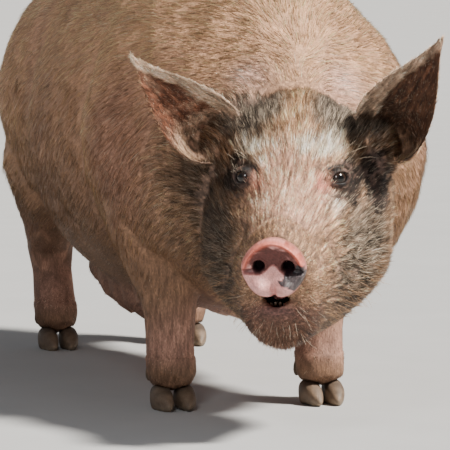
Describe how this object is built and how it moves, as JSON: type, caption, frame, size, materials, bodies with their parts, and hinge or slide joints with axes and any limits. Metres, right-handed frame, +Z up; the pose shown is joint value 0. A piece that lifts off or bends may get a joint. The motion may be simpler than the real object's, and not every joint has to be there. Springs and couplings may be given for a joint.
{
  "type": "domestic pig",
  "caption": "Life-size model of a heavy domestic sow standing on all fours, head lowered and turned to its right, ears up, mouth slightly open.",
  "frame": {"origin": "on the ground, under the centre of the pig's bounding box", "axes": "+Z up; the pig faces -Y; its left side is +X"},
  "size_m": [0.586, 1.7238, 0.8131],
  "materials": {
    "hide": "ginger-pink skin under short pale golden hair",
    "face": "dark grey and pinkish skin under short hair",
    "snout_pink": "moist bare skin, semi-gloss",
    "ear_skin": "thin skin under fine short hair",
    "eye": "wet, glossy",
    "claw": "horn, satin",
    "tongue_pink": "moist",
    "tooth": "enamel, glossy"
  },
  "bodies": {
    "root": {"ear_left": "ear_skin", "ear_right": "ear_skin", "eye_left": "eye", "eye_right": "eye", "fore_left_claw_inner": "claw", "fore_left_claw_outer": "claw", "fore_left_dewclaw_inner": "claw", "fore_left_dewclaw_outer": "claw", "fore_right_claw_inner": "claw", "fore_right_claw_outer": "claw", "fore_right_dewclaw_inner": "claw", "fore_right_dewclaw_outer": "claw", "foreleg_left": "hide", "foreleg_right": "hide", "head": "face", "hind_left_claw_inner": "claw", "hind_left_claw_outer": "claw", "hind_left_dewclaw_inner": "claw", "hind_left_dewclaw_outer": "claw", "hind_right_claw_inner": "claw", "hind_right_claw_outer": "claw", "hind_right_dewclaw_inner": "claw", "hind_right_dewclaw_outer": "claw", "hindleg_left": "hide", "hindleg_right": "hide", "neck": "hide", "snout": "snout_pink", "tail": "hide", "teeth": "tooth", "tongue": "tongue_pink", "torso": "hide"}
  },
  "joints": []
}
